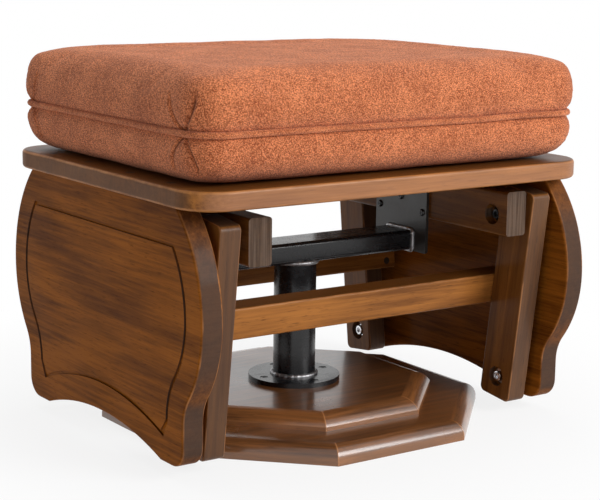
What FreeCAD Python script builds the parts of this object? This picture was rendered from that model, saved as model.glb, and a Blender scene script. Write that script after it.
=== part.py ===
import FreeCAD, Part
import math
import os

import Sketcher

os.makedirs("parts", exist_ok=True)
doc = FreeCAD.newDocument("glider_ottoman")
V = FreeCAD.Vector

# Frame: +X along the long side, +Y to the back, +Z up.
# The origin is on the floor, on the axis of the column.

# Driving dimensions in mm and degrees.
SIZES = dict(
    lower_half=224.0,
    lower_top_half=206.0,
    lower_height=22.0,
    upper_half=166.0,
    upper_top_half=143.5,
    upper_height=18.0,
    tier_step=5.0,
    tier_screw_ring=110.0,
    tier_screw_length=34.0,
    flange_radius=57.5,
    flange_height=6.0,
    flange_screw_ring=45.0,
    flange_screw_length=30.0,
    column_radius=26.5,
    column_wall=3.0,
    crossbar_depth=52.0,
    crossbar_height=26.0,
    crossbar_wall=2.5,
    crossbar_underside=191.5,
    crossbar_length=332.0,
    weld_size=3.5,
    plate_thickness=4.0,
    plate_depth=104.0,
    plate_height=95.0,
    plate_screw_length=22.0,
    rail_inner=170.0,
    rail_thickness=30.0,
    rail_length=398.0,
    rail_height=54.0,
    rail_middle=262.0,
    rail_rounding=4.0,
    pivot_depth=172.0,
    pivot_height=259.0,
    arm_lean=7.0,
    arm_pitch=216.6,
    arm_inner=210.0,
    arm_thickness=28.0,
    arm_width=54.0,
    arm_above=28.0,
    arm_below=27.5,
    arm_corner=8.0,
    arm_rounding=2.5,
    bolt_radius=4.0,
    bolt_head_radius=6.8,
    bolt_head_height=6.5,
    recess_radius=12.5,
    rail_recess=12.0,
    arm_recess=8.0,
    nut_recess=9.0,
    bush_radius=7.0,
    running_fit=0.05,
    open_pivot_play=1.1,
    sleeve_radius=9.0,
    side_gap=0.4,
    stretcher_length=476.0,
    stretcher_thickness=30.0,
    stretcher_height=38.0,
    stretcher_drop=107.9,
    stretcher_rounding=3.0,
    board_width=560.0,
    board_depth=446.0,
    board_underside=302.5,
    board_thickness=22.5,
    board_corner=45.0,
    board_rounding=4.5,
    panel_inner=248.0,
    panel_thickness=27.0,
    panel_rounding=3.0,
    panel_screw_length=60.0,
    groove_inset=31.5,
    groove_width=5.0,
    groove_depth=2.4,
    insert_radius=6.0,
    insert_length=14.0,
    dowel_radius=4.0,
    dowel_length=24.0,
    cushion_gap=0.3,
    cushion_half_length=273.5,
    cushion_half_depth=217.0,
    cushion_corner=50.0,
    cushion_crown=455.0,
    welt_height=382.0,
    welt_inset=4.5,
    welt_radius=3.6,
    welt_play=0.3,
    foam_half_length=246.0,
    foam_half_depth=188.0,
    foam_corner=35.0,
    foam_base=331.0,
    foam_thickness=106.0,
)

sheet = doc.addObject("Spreadsheet::Sheet", "Sheet")
for row, (alias, value) in enumerate(SIZES.items(), start=1):
    sheet.set(f"A{row}", alias)
    sheet.set(f"B{row}", str(value))
    sheet.setAlias(f"B{row}", alias)
doc.recompute()


def size(alias):
    return SIZES[alias]


# Building blocks: bodies, sketches and their features.


def body(name):
    return doc.addObject("PartDesign::Body", name)


def origin_plane(owner, role):
    return next(item for item in owner.Origin.OriginFeatures if item.Role == role)


def sketch(owner, role, offset=0.0, tag="outline"):
    drawn = owner.newObject("Sketcher::SketchObject", f"{owner.Name}_{tag}")
    drawn.AttachmentSupport = [(origin_plane(owner, role), "")]
    drawn.MapMode = "FlatFace"
    drawn.AttachmentOffset = FreeCAD.Placement(V(0, 0, offset), FreeCAD.Rotation())
    return drawn


def driven(drawn, constraint, alias, factor=1.0):
    index = drawn.addConstraint(constraint)
    drawn.renameConstraint(index, alias)
    drawn.setExpression(f"Constraints.{alias}", f"Sheet.{alias} * {factor}")


def rectangle(drawn, wide, high):
    """A rectangle centred on the origin of the sketch, driven by two sheet values."""
    first = drawn.GeometryCount
    w = size(wide) / 2
    h = size(high) / 2
    corners = [V(-w, -h, 0), V(w, -h, 0), V(w, h, 0), V(-w, h, 0)]
    for i in range(4):
        drawn.addGeometry(Part.LineSegment(corners[i], corners[(i + 1) % 4]))
    for i in range(4):
        drawn.addConstraint(Sketcher.Constraint("Coincident", first + i, 2, first + (i + 1) % 4, 1))
    for i in (0, 2):
        drawn.addConstraint(Sketcher.Constraint("Horizontal", first + i))
    for i in (1, 3):
        drawn.addConstraint(Sketcher.Constraint("Vertical", first + i))
    drawn.addConstraint(Sketcher.Constraint("Symmetric", first, 1, first + 2, 1, -1, 1))
    driven(drawn, Sketcher.Constraint("DistanceX", first, 1, first, 2, 2 * w), wide)
    driven(drawn, Sketcher.Constraint("DistanceY", first + 1, 1, first + 1, 2, 2 * h), high)


def circle(drawn, radius, x=0.0, y=0.0):
    """A circle of one sheet value at a point of the sketch."""
    index = drawn.addGeometry(Part.Circle(V(x, y, 0), V(0, 0, 1), size(radius)))
    if x == 0 and y == 0:
        drawn.addConstraint(Sketcher.Constraint("Coincident", index, 3, -1, 1))
    constraint = drawn.addConstraint(Sketcher.Constraint("Radius", index, size(radius)))
    drawn.setExpression(f"Constraints[{constraint}]", f"Sheet.{radius}")


def path(drawn, pieces):
    """Lines (two points) and arcs (three points) laid end to end."""
    for piece in pieces:
        points = [V(y, z, 0) for y, z in piece]
        if len(points) == 2:
            drawn.addGeometry(Part.LineSegment(*points))
        else:
            drawn.addGeometry(Part.Arc(*points))


def rounded_pieces(half_x, half_y, corner):
    """Outline of a rectangle with round corners, as lines and quarter arcs."""
    cut = corner * (1 - math.sqrt(0.5))
    x, y, r = half_x, half_y, corner
    return [
        ((-x + r, -y), (x - r, -y)),
        ((x - r, -y), (x - cut, -y + cut), (x, -y + r)),
        ((x, -y + r), (x, y - r)),
        ((x, y - r), (x - cut, y - cut), (x - r, y)),
        ((x - r, y), (-x + r, y)),
        ((-x + r, y), (-x + cut, y - cut), (-x, y - r)),
        ((-x, y - r), (-x, -y + r)),
        ((-x, -y + r), (-x + cut, -y + cut), (-x + r, -y)),
    ]


def extruded(owner, drawn, kind, length, tag, reverse=False):
    feature = owner.newObject(f"PartDesign::{kind}", f"{owner.Name}_{tag}")
    feature.Profile = drawn
    feature.Reversed = reverse
    feature.setExpression("Length", f"Sheet.{length}")
    doc.recompute()
    return feature


def pad(owner, drawn, length, tag="pad"):
    return extruded(owner, drawn, "Pad", length, tag)


def pocket(owner, drawn, depth, tag, reverse=False):
    return extruded(owner, drawn, "Pocket", depth, tag, reverse)


def rounded_edges(owner, radius, wanted, tag="rounding"):
    """A fillet on the edges of the tip for which wanted(edge) holds."""
    base = owner.Tip
    names = [f"Edge{i}" for i, edge in enumerate(base.Shape.Edges, start=1) if wanted(edge)]
    feature = owner.newObject("PartDesign::Fillet", f"{owner.Name}_{tag}")
    feature.Base = (base, names)
    feature.setExpression("Radius", f"Sheet.{radius}")
    doc.recompute()
    return feature


def runs_along(edge, axis):
    box = edge.BoundBox
    spans = [box.XLength, box.YLength, box.ZLength]
    return spans[axis] > 1 and sum(spans) - spans[axis] < 0.01


def lies_at(edge, axis, value):
    box = edge.BoundBox
    low = [box.XMin, box.YMin, box.ZMin][axis]
    high = [box.XMax, box.YMax, box.ZMax][axis]
    return abs(low - value) < 0.01 and abs(high - value) < 0.01


# Building blocks: primitives, booleans and fasteners.


def cylinder(name, radius, length, start=0.0):
    """A cylinder along +Z from start, its radius and length given as sheet expressions."""
    made = doc.addObject("Part::Cylinder", name)
    made.setExpression("Radius", radius)
    made.setExpression("Height", length)
    made.Placement.Base = V(0, 0, start)
    return made


def cone(name, wide, narrow, height):
    """A countersunk head: wide face at z = 0, narrowing along +Z."""
    made = doc.addObject("Part::Cone", name)
    made.Radius1 = wide
    made.Radius2 = narrow
    made.Height = height
    return made


def joined(name, pieces):
    made = doc.addObject("Part::MultiFuse", name)
    made.Shapes = pieces
    made.Refine = True
    return made


def cut(name, base, tools):
    made = doc.addObject("Part::Cut", name)
    made.Base = base
    made.Tool = tools[0] if len(tools) == 1 else joined(f"{name}_tools", tools)
    return made


def group(name, pieces):
    made = doc.addObject("Part::Compound", name)
    made.Links = pieces
    return made


def aimed(item, base, direction):
    """Places an item that was built along +Z."""
    item.Placement = FreeCAD.Placement(V(*base), FreeCAD.Rotation(V(0, 0, 1), V(*direction)))
    return item


def countersunk_screw(name, radius, length):
    head = cone(f"{name}_head", 2 * radius, radius, radius)
    shank = cylinder(f"{name}_shank", f"{radius} mm", f"Sheet.{length}")
    return joined(name, [head, shank])


def round_head_screw(name):
    head = cylinder(f"{name}_head", "4.8 mm", "2.6 mm", -2.6)
    shank = cylinder(f"{name}_shank", "2 mm", "Sheet.plate_screw_length")
    return joined(name, [head, shank])


def socket_bolt(name, shank_length):
    """A bolt with a cylindrical head and a hexagon socket; the head sits below z = 0."""
    depth = size("bolt_head_height")
    head = cylinder(f"{name}_head", "Sheet.bolt_head_radius", "Sheet.bolt_head_height", -depth)
    shank = cylinder(f"{name}_shank", "Sheet.bolt_radius", f"{shank_length} mm")
    socket = doc.addObject("Part::Prism", f"{name}_socket")
    socket.Polygon = 6
    socket.Circumradius = 3.4
    socket.Height = 4
    socket.Placement.Base = V(0, 0, -depth)
    return cut(name, joined(f"{name}_blank", [head, shank]), [socket])


def sleeve(name, outer, inner, length):
    """A plain sleeve along +Z; outer and inner radius are sheet expressions."""
    shell = cylinder(f"{name}_shell", outer, f"{length} mm")
    bore = cylinder(f"{name}_bore", inner, f"{length + 2} mm", -1)
    return cut(name, shell, [bore])


def hexagon_nut(name, length):
    blank = doc.addObject("Part::Prism", f"{name}_blank")
    blank.Polygon = 6
    blank.Circumradius = 7.5
    blank.Height = length
    bore = cylinder(f"{name}_bore", "Sheet.bolt_radius", f"{length + 2} mm", -1)
    return cut(name, blank, [bore])


SIDES = {"left": -1, "right": 1}
ENDS = {"front": -1, "rear": 1}

nodes = {}


def node(name, item):
    item.Label = name
    nodes[name] = item
    return item


# Octagonal tiers: one moulded cross-section, extruded in four directions, kept where all four overlap.


def tier(name, half, top_half, height, base_height):
    a = size(half)
    b = size(top_half)
    h = size(height)
    step = size("tier_step")
    drop = h - step
    reach = a - b
    radius = (reach**2 + drop**2) / (2 * drop)
    angle = math.asin(reach / radius) / 2
    middle = (b + radius * math.sin(angle), h - radius * (1 - math.cos(angle)))
    profile = doc.addObject("Sketcher::SketchObject", f"{name}_profile")
    path(
        profile,
        [
            ((-a, 0), (a, 0)),
            ((a, 0), (a, step)),
            ((a, step), middle, (b, h)),
            ((b, h), (-b, h)),
            ((-b, h), (-middle[0], middle[1]), (-a, step)),
            ((-a, step), (-a, 0)),
        ],
    )
    slabs = []
    for turn in (0, 45, 90, 135):
        slab = doc.addObject("Part::Extrusion", f"{name}_slab_{turn}")
        slab.Base = profile
        slab.DirMode = "Custom"
        slab.Dir = V(0, 0, 1)
        slab.Solid = True
        slab.Symmetric = True
        slab.setExpression("LengthFwd", f"Sheet.{half} * 2.4")
        upright = FreeCAD.Rotation(V(0, 0, 1), turn).multiply(FreeCAD.Rotation(V(1, 0, 0), 90))
        slab.Placement = FreeCAD.Placement(V(0, 0, base_height), upright)
        slabs.append(slab)
    octagon = doc.addObject("Part::MultiCommon", f"{name}_octagon")
    octagon.Shapes = slabs
    return octagon


upper_base = size("lower_height")
tiers_top = upper_base + size("upper_height")
flange_top = tiers_top + size("flange_height")

tier_screws = []
for i in range(4):
    angle = math.radians(45 + 90 * i)
    spot = (size("tier_screw_ring") * math.cos(angle), size("tier_screw_ring") * math.sin(angle), 0)
    screw = countersunk_screw(f"tier_screw_{i}", 2.5, "tier_screw_length")
    tier_screws.append(aimed(screw, spot, (0, 0, 1)))
tier_screw_group = node("tier_screws", group("tier_screws", tier_screws))

flange_screws = []
for i in range(4):
    angle = math.radians(90 * i)
    ring = size("flange_screw_ring")
    spot = (ring * math.cos(angle), ring * math.sin(angle), flange_top)
    screw = countersunk_screw(f"flange_screw_{i}", 2.6, "flange_screw_length")
    flange_screws.append(aimed(screw, spot, (0, 0, -1)))
flange_screw_group = node("flange_screws", group("flange_screws", flange_screws))

lower_octagon = tier("lower", "lower_half", "lower_top_half", "lower_height", 0.0)
upper_octagon = tier("upper", "upper_half", "upper_top_half", "upper_height", upper_base)
node("base_lower_tier", cut("base_lower_tier", lower_octagon, [tier_screw_group, flange_screw_group]))
node("base_upper_tier", cut("base_upper_tier", upper_octagon, [tier_screw_group, flange_screw_group]))

# Steel column on its flange.

flange_body = body("flange_plate")
flange_outline = sketch(flange_body, "XY_Plane")
circle(flange_outline, "flange_radius")
pad(flange_body, flange_outline, "flange_height")
flange_body.Placement.Base = V(0, 0, tiers_top)
node("column_flange", cut("column_flange", flange_body, [flange_screw_group]))

column_height = size("crossbar_underside") - flange_top
column_outer = cylinder("column_outer", "Sheet.column_radius", f"{column_height} mm")
column_inner = "Sheet.column_radius - Sheet.column_wall"
column_bore = cylinder("column_bore", column_inner, f"{column_height + 2} mm", -1)
column = cut("column", column_outer, [column_bore])
column.Placement.Base = V(0, 0, flange_top)
node("column", column)


def ring_weld(name, height, direction):
    """A fillet bead round the column, its flat side at the given height."""
    bead = doc.addObject("Part::Cone", f"{name}_bead")
    bead.setExpression("Radius1", "Sheet.column_radius + Sheet.weld_size")
    bead.setExpression("Radius2", "Sheet.column_radius")
    bead.setExpression("Height", "Sheet.weld_size")
    bore = cylinder(f"{name}_bore", "Sheet.column_radius", "Sheet.weld_size + 2", -1)
    return aimed(cut(name, bead, [bore]), (0, 0, height), direction)


foot_weld = ring_weld("foot_weld", flange_top, (0, 0, 1))
head_weld = ring_weld("head_weld", size("crossbar_underside"), (0, 0, -1))
node("column_welds", group("column_welds", [foot_weld, head_weld]))

# Crossbar tube with a plate welded to each end.

crossbar_middle = size("crossbar_underside") + size("crossbar_height") / 2
bar = body("crossbar")
bar_outline = sketch(bar, "YZ_Plane", -size("crossbar_length") / 2)
rectangle(bar_outline, "crossbar_depth", "crossbar_height")
pad(bar, bar_outline, "crossbar_length")
rounded_edges(bar, "tier_step", lambda edge: runs_along(edge, 0), "corners")
bore_outline = sketch(bar, "YZ_Plane", -size("crossbar_length") / 2, "bore")
wall = size("crossbar_wall")
bore_half_y = size("crossbar_depth") / 2 - wall
bore_half_z = size("crossbar_height") / 2 - wall
path(bore_outline, rounded_pieces(bore_half_y, bore_half_z, size("tier_step") - wall))
pocket(bar, bore_outline, "crossbar_length", "bore_pocket", reverse=True)
bar.Placement.Base = V(0, 0, crossbar_middle)
node("crossbar", bar)

bar_welds = []
for side, sign in SIDES.items():
    bead = body(f"crossbar_weld_{side}")
    bead_outline = sketch(bead, "YZ_Plane")
    grow = size("weld_size")
    half_y = size("crossbar_depth") / 2
    half_z = size("crossbar_height") / 2
    corner = size("tier_step")
    path(bead_outline, rounded_pieces(half_y + grow, half_z + grow, corner + grow))
    path(bead_outline, rounded_pieces(half_y, half_z, corner))
    pad(bead, bead_outline, "weld_size")
    bead.Placement = FreeCAD.Placement(
        V(sign * size("crossbar_length") / 2, 0, crossbar_middle),
        FreeCAD.Rotation(V(0, 0, 1), 180 if sign > 0 else 0),
    )
    bar_welds.append(bead)
node("crossbar_welds", group("crossbar_welds", bar_welds))

plate_low = size("crossbar_underside") - 1.5
plate_middle = plate_low + size("plate_height") / 2
plate_face = size("rail_inner") - size("plate_thickness")
plate_screws = []
screw_side = 43.5
screw_low = 243.0
screw_high = 279.0
screw_spots = [(y, z) for z in (screw_low, screw_high) for y in (-screw_side, screw_side)]
screw_spots.append((0.0, size("pivot_height")))
for side, sign in SIDES.items():
    for i, (y, z) in enumerate(screw_spots):
        screw = round_head_screw(f"plate_screw_{side}_{i}")
        plate_screws.append(aimed(screw, (sign * plate_face, y, z), (sign, 0, 0)))
plate_screw_group = node("plate_screws", group("plate_screws", plate_screws))

for side, sign in SIDES.items():
    plate = body(f"plate_{side}")
    plate_outline = sketch(plate, "YZ_Plane")
    rectangle(plate_outline, "plate_depth", "plate_height")
    pad(plate, plate_outline, "plate_thickness")
    rounded_edges(plate, "weld_size", lambda edge: runs_along(edge, 0), "corners")
    start = plate_face if sign > 0 else -size("rail_inner")
    plate.Placement.Base = V(start, 0, plate_middle)
    node(f"end_plate_{side}", cut(f"end_plate_{side}", plate, [plate_screw_group]))

# Rails with a counterbore and a bolt hole at each end.

for side, sign in SIDES.items():
    rail = body(f"rail_body_{side}")
    rail_outline = sketch(rail, "YZ_Plane")
    rectangle(rail_outline, "rail_length", "rail_height")
    pad(rail, rail_outline, "rail_thickness")
    rounded_edges(rail, "rail_rounding", lambda edge: runs_along(edge, 1), "long_rounding")
    drop = size("pivot_height") - size("rail_middle")
    holes = sketch(rail, "YZ_Plane", 0.0, "bolt_holes")
    for end in ENDS.values():
        circle(holes, "bolt_radius", end * size("pivot_depth"), drop)
    pocket(rail, holes, "rail_thickness", "bolt_pocket", reverse=True)
    recesses = sketch(rail, "YZ_Plane", 0.0, "recesses")
    for end in ENDS.values():
        circle(recesses, "recess_radius", end * size("pivot_depth"), drop)
    pocket(rail, recesses, "rail_recess", "recess_pocket", reverse=True)
    turn = 0 if sign > 0 else 180
    rail.Placement = FreeCAD.Placement(
        V(sign * size("rail_inner"), 0, size("rail_middle")), FreeCAD.Rotation(V(0, 0, 1), turn)
    )
    node(f"rail_{side}", cut(f"rail_{side}", rail, [plate_screw_group]))

# Upper pivots: a bolt through the rail, a sleeve in the gap and a lock nut in the arm's outer recess.

top_bolts = []
top_spacers = []
top_nuts = []
head_seat = size("rail_inner") + size("rail_recess")
rail_outer = size("rail_inner") + size("rail_thickness")
arm_outer = size("arm_inner") + size("arm_thickness")
nut_start = arm_outer - size("nut_recess") + size("side_gap")
nut_length = size("nut_recess") - 1.0
top_spacer_length = size("arm_inner") - rail_outer - size("side_gap")
for side, sign in SIDES.items():
    for end, end_sign in ENDS.items():
        y = end_sign * size("pivot_depth")
        z = size("pivot_height")
        aim = (sign, 0, 0)
        bolt = socket_bolt(f"top_bolt_{side}_{end}", nut_start + nut_length - head_seat)
        top_bolts.append(aimed(bolt, (sign * head_seat, y, z), aim))
        spacer = sleeve(
            f"top_spacer_{side}_{end}", "Sheet.sleeve_radius", "Sheet.bolt_radius", top_spacer_length
        )
        top_spacers.append(aimed(spacer, (sign * rail_outer, y, z), aim))
        nut = hexagon_nut(f"top_nut_{side}_{end}", nut_length)
        top_nuts.append(aimed(nut, (sign * nut_start, y, z), aim))
node("top_pivot_bolts", group("top_pivot_bolts", top_bolts))
node("top_spacers", group("top_spacers", top_spacers))
node("top_lock_nuts", group("top_lock_nuts", top_nuts))

# Swing frames. An arm is drawn upright with its upper pivot at the origin, then leaned about that pivot.


def swing_placement(sign, end_sign):
    turn = 0 if sign > 0 else 180
    lean = -end_sign * sign * size("arm_lean")
    base = V(sign * size("arm_inner"), end_sign * size("pivot_depth"), size("pivot_height"))
    return FreeCAD.Placement(base, FreeCAD.Rotation(turn, 0, lean))


def frame_placement(end_sign):
    """The same lean for parts that span both sides; their own x = 0 is the middle of the object."""
    base = V(0, end_sign * size("pivot_depth"), size("pivot_height"))
    return FreeCAD.Placement(base, FreeCAD.Rotation(0, 0, -end_sign * size("arm_lean")))


arm_top = size("arm_above")
arm_bottom = -size("arm_pitch") - size("arm_below")


def arm_blank(name):
    arm = body(name)
    outline = sketch(arm, "YZ_Plane")
    half = size("arm_width") / 2
    path(
        outline,
        [
            ((-half, arm_bottom), (half, arm_bottom)),
            ((half, arm_bottom), (half, arm_top)),
            ((half, arm_top), (-half, arm_top)),
            ((-half, arm_top), (-half, arm_bottom)),
        ],
    )
    pad(arm, outline, "arm_thickness")
    rounded_edges(arm, "arm_corner", lambda edge: runs_along(edge, 0), "corners")
    thickness = size("arm_thickness")
    rounded_edges(
        arm,
        "arm_rounding",
        lambda edge: lies_at(edge, 0, 0) or lies_at(edge, 0, thickness),
        "edges",
    )
    bores = sketch(arm, "YZ_Plane", 0.0, "bores")
    circle(bores, "bush_radius")
    circle(bores, "bush_radius", 0, -size("arm_pitch"))
    pocket(arm, bores, "arm_thickness", "bore_pocket", reverse=True)
    outer_recess = sketch(arm, "YZ_Plane", thickness, "nut_recess")
    circle(outer_recess, "recess_radius")
    pocket(arm, outer_recess, "nut_recess", "nut_pocket")
    inner_recess = sketch(arm, "YZ_Plane", 0.0, "bolt_recess")
    circle(inner_recess, "recess_radius", 0, -size("arm_pitch"))
    pocket(arm, inner_recess, "arm_recess", "bolt_pocket", reverse=True)
    return arm


for end, end_sign in ENDS.items():
    toward = -end_sign
    frame = frame_placement(end_sign)
    near_face = toward * size("arm_width") / 2
    far_face = near_face + toward * size("stretcher_thickness")
    drop = -size("stretcher_drop")

    screws = []
    for side, sign in SIDES.items():
        for i, rise in enumerate((-9, 9)):
            screw = joined(
                f"{end}_stretcher_screw_{side}_{i}",
                [
                    cone(f"{end}_stretcher_screw_head_{side}_{i}", 4.8, 2.4, 2.4),
                    cylinder(f"{end}_stretcher_screw_shank_{side}_{i}", "2.4 mm", "52 mm"),
                ],
            )
            x = sign * (size("arm_inner") + size("arm_thickness") / 2)
            inward = FreeCAD.Rotation(V(0, 0, 1), V(0, -toward, 0))
            local = FreeCAD.Placement(V(x, far_face, drop + rise), inward)
            screw.Placement = frame.multiply(local)
            screws.append(screw)
    screw_group = node(f"{end}_stretcher_screws", group(f"{end}_stretcher_screws", screws))

    bar_blank = body(f"{end}_stretcher_blank")
    bar_face = sketch(bar_blank, "YZ_Plane", -size("stretcher_length") / 2)
    rectangle(bar_face, "stretcher_thickness", "stretcher_height")
    pad(bar_blank, bar_face, "stretcher_length")
    rounded_edges(bar_blank, "stretcher_rounding", lambda edge: runs_along(edge, 0))
    middle = FreeCAD.Placement(V(0, (near_face + far_face) / 2, drop), FreeCAD.Rotation())
    bar_blank.Placement = frame.multiply(middle)
    node(f"{end}_stretcher", cut(f"{end}_stretcher", bar_blank, [screw_group]))

    bushes = []
    for side, sign in SIDES.items():
        arm = arm_blank(f"{end}_{side}_arm_blank")
        arm.Placement = swing_placement(sign, end_sign)
        node(f"{end}_{side}_arm", cut(f"{end}_{side}_arm", arm, [screw_group]))
        play = "open_pivot_play" if end == "rear" else "running_fit"
        upper_length = size("arm_thickness") - size("nut_recess")
        lower_length = size("arm_thickness") - size("arm_recess")
        upper = sleeve(
            f"{end}_{side}_upper_bush",
            "Sheet.bush_radius",
            "Sheet.bolt_radius + Sheet.running_fit",
            upper_length,
        )
        lower = sleeve(
            f"{end}_{side}_lower_bush",
            "Sheet.bush_radius",
            f"Sheet.bolt_radius + Sheet.{play}",
            lower_length,
        )
        outward = FreeCAD.Rotation(V(0, 0, 1), V(1, 0, 0))
        upper.Placement = arm.Placement.multiply(FreeCAD.Placement(V(0, 0, 0), outward))
        foot = V(size("arm_recess"), 0, -size("arm_pitch"))
        lower.Placement = arm.Placement.multiply(FreeCAD.Placement(foot, outward))
        bushes += [upper, lower]
    node(f"{end}_arm_bushes", group(f"{end}_arm_bushes", bushes))

# Lower pivots: a bolt through the arm into a threaded insert in the panel, with a sleeve in the gap.

lean = math.radians(size("arm_lean"))
lower_depth = size("pivot_depth") - size("arm_pitch") * math.sin(lean)
lower_height = size("pivot_height") - size("arm_pitch") * math.cos(lean)
lower_seat = size("arm_inner") + size("arm_recess") - size("side_gap")
lower_shank = size("panel_inner") + size("insert_length") - lower_seat
lower_spacer_length = size("panel_inner") - arm_outer - size("side_gap")
bottom_bolts = []
bottom_spacers = []
inserts = []
for side, sign in SIDES.items():
    for end, end_sign in ENDS.items():
        y = end_sign * lower_depth
        aim = (sign, 0, 0)
        bolt = socket_bolt(f"bottom_bolt_{side}_{end}", lower_shank)
        bottom_bolts.append(aimed(bolt, (sign * lower_seat, y, lower_height), aim))
        spacer = sleeve(
            f"bottom_spacer_{side}_{end}", "Sheet.sleeve_radius", "Sheet.bolt_radius", lower_spacer_length
        )
        spot = (sign * (size("panel_inner") - lower_spacer_length), y, lower_height)
        bottom_spacers.append(aimed(spacer, spot, aim))
        insert = sleeve(
            f"insert_{side}_{end}", "Sheet.insert_radius", "Sheet.bolt_radius", size("insert_length")
        )
        inserts.append(aimed(insert, (sign * size("panel_inner"), y, lower_height), aim))
node("bottom_pivot_bolts", group("bottom_pivot_bolts", bottom_bolts))
node("bottom_spacers", group("bottom_spacers", bottom_spacers))
node("panel_inserts", group("panel_inserts", inserts))

# Side panels: bulging sides, a drawn-in neck, a small foot and an arched lower edge.

bulge_height = 182.0
upper_centre = 60.4
upper_radius = 165.6
lower_centre = 86.0
lower_radius = 140.0
neck_half = 187.0
neck_height = 66.0
neck_radius = 52.0
foot_radius = 24.0
foot_height = 16.0
arch_half = 138.0
arch_crown = 38.5


def on_circle(centre, radius, degrees):
    angle = math.radians(degrees)
    return (centre[0] + radius * math.cos(angle), centre[1] + radius * math.sin(angle))


def mirrored(piece):
    return tuple((-y, z) for y, z in reversed(piece))


def side_pieces(inset, top, bottom_half, bottom, corner):
    """One side of the panel outline, drawn in by inset, from the top edge down to the foot."""
    upper = upper_radius - inset
    lower = lower_radius - inset
    neck = neck_radius + inset
    rise = top - bulge_height
    top_half = upper_centre + math.sqrt(upper**2 - rise**2)
    top_angle = math.degrees(math.asin(rise / upper))
    neck_centre = (neck_half + neck_radius, neck_height)
    slope = math.degrees(math.atan2(neck_height - bulge_height, neck_centre[0] - lower_centre))
    bulge = (lower_centre + lower, bulge_height)
    waist = on_circle((lower_centre, bulge_height), lower, slope)
    neck_turn = (180 + slope + 180) / 2
    neck_point = (neck_centre[0] - neck, neck_height)
    pieces = [
        ((top_half, top), on_circle((upper_centre, bulge_height), upper, top_angle / 2), bulge),
        (bulge, on_circle((lower_centre, bulge_height), lower, slope / 2), waist),
        (waist, on_circle(neck_centre, neck, neck_turn), neck_point),
    ]
    if corner > 0:
        side_end = (neck_point[0], bottom + corner)
        centre = (neck_point[0] - corner, bottom + corner)
        pieces.append((neck_point, side_end))
        pieces.append((side_end, on_circle(centre, corner, -45), (centre[0], bottom)))
        pieces.append(((centre[0], bottom), (bottom_half, bottom)))
    else:
        pieces.append((neck_point, (bottom_half, bottom)))
    return pieces


def closed_outline(inset, top, bottom_half, bottom, crown, corner):
    side = side_pieces(inset, top, bottom_half, bottom, corner)
    top_half = side[0][0][0]
    arch = ((bottom_half, bottom), (0, crown), (-bottom_half, bottom))
    left = [mirrored(piece) for piece in reversed(side)]
    return [((-top_half, top), (top_half, top))] + side + [arch] + left


board_low = size("board_underside")
panel_outer = size("panel_inner") + size("panel_thickness")

panel_screws = []
panel_dowels = []
board_top = board_low + size("board_thickness")
panel_middle = size("panel_inner") + size("panel_thickness") / 2
for side, sign in SIDES.items():
    for i, y in enumerate((-140, -50, 50, 140)):
        screw = countersunk_screw(f"panel_screw_{side}_{i}", 2.8, "panel_screw_length")
        panel_screws.append(aimed(screw, (sign * panel_middle, y, board_top), (0, 0, -1)))
    for i, y in enumerate((-95, 95)):
        dowel = cylinder(f"panel_dowel_{side}_{i}", "Sheet.dowel_radius", "Sheet.dowel_length")
        dowel.Placement.Base = V(sign * panel_middle, y, board_low - size("dowel_length") / 2)
        panel_dowels.append(dowel)
panel_screw_group = node("panel_screws", group("panel_screws", panel_screws))
panel_dowel_group = node("panel_dowels", group("panel_dowels", panel_dowels))

for side, sign in SIDES.items():
    panel = body(f"panel_{side}")
    outline = sketch(panel, "YZ_Plane")
    path(outline, closed_outline(0, board_low, arch_half, foot_height, arch_crown, foot_radius))
    pad(panel, outline, "panel_thickness")
    thickness = size("panel_thickness")

    def on_panel_rim(edge):
        on_a_face = lies_at(edge, 0, 0) or lies_at(edge, 0, thickness)
        return on_a_face and not lies_at(edge, 2, board_low)

    rounded_edges(panel, "panel_rounding", on_panel_rim, "edges")
    groove = sketch(panel, "YZ_Plane", thickness, "groove")
    near = size("groove_inset")
    far = near + size("groove_width")
    groove_top = board_low - 38
    path(groove, closed_outline(near, groove_top, arch_half + 7, foot_height + 29, arch_crown + 34, 0))
    path(groove, closed_outline(far, groove_top - 5, arch_half + 1, foot_height + 35, arch_crown + 39, 0))
    pocket(panel, groove, "groove_depth", "groove_pocket")
    sockets = sketch(panel, "YZ_Plane", 0.0, "insert_holes")
    for end_sign in ENDS.values():
        circle(sockets, "insert_radius", end_sign * lower_depth, lower_height)
    pocket(panel, sockets, "insert_length", "insert_pocket", reverse=True)
    turn = 0 if sign > 0 else 180
    panel.Placement = FreeCAD.Placement(
        V(sign * size("panel_inner"), 0, 0), FreeCAD.Rotation(V(0, 0, 1), turn)
    )
    node(f"side_panel_{side}", cut(f"side_panel_{side}", panel, [panel_screw_group, panel_dowel_group]))

# Seat board.

board = body("board_blank")
board_outline = sketch(board, "XY_Plane")
board_half_x = size("board_width") / 2
board_half_y = size("board_depth") / 2
path(board_outline, rounded_pieces(board_half_x, board_half_y, size("board_corner")))
pad(board, board_outline, "board_thickness")
rounded_edges(
    board,
    "board_rounding",
    lambda edge: lies_at(edge, 2, 0) or lies_at(edge, 2, size("board_thickness")),
)
board.setExpression("Placement.Base.z", "Sheet.board_underside")
node("seat_board", cut("seat_board", board, [panel_screw_group, panel_dowel_group]))

# Cushion: two lofts that meet in the drawn-in waist, with the welt lying in it.

cushion_base = board_top + size("cushion_gap")
full_x = size("cushion_half_length")
full_y = size("cushion_half_depth")
waist_inset = 8.5


def cushion_ring(name, inset, height, corner):
    ring = doc.addObject("Sketcher::SketchObject", name)
    path(ring, rounded_pieces(full_x - inset, full_y - inset, corner))
    ring.Placement.Base = V(0, 0, height)
    return ring


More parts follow.
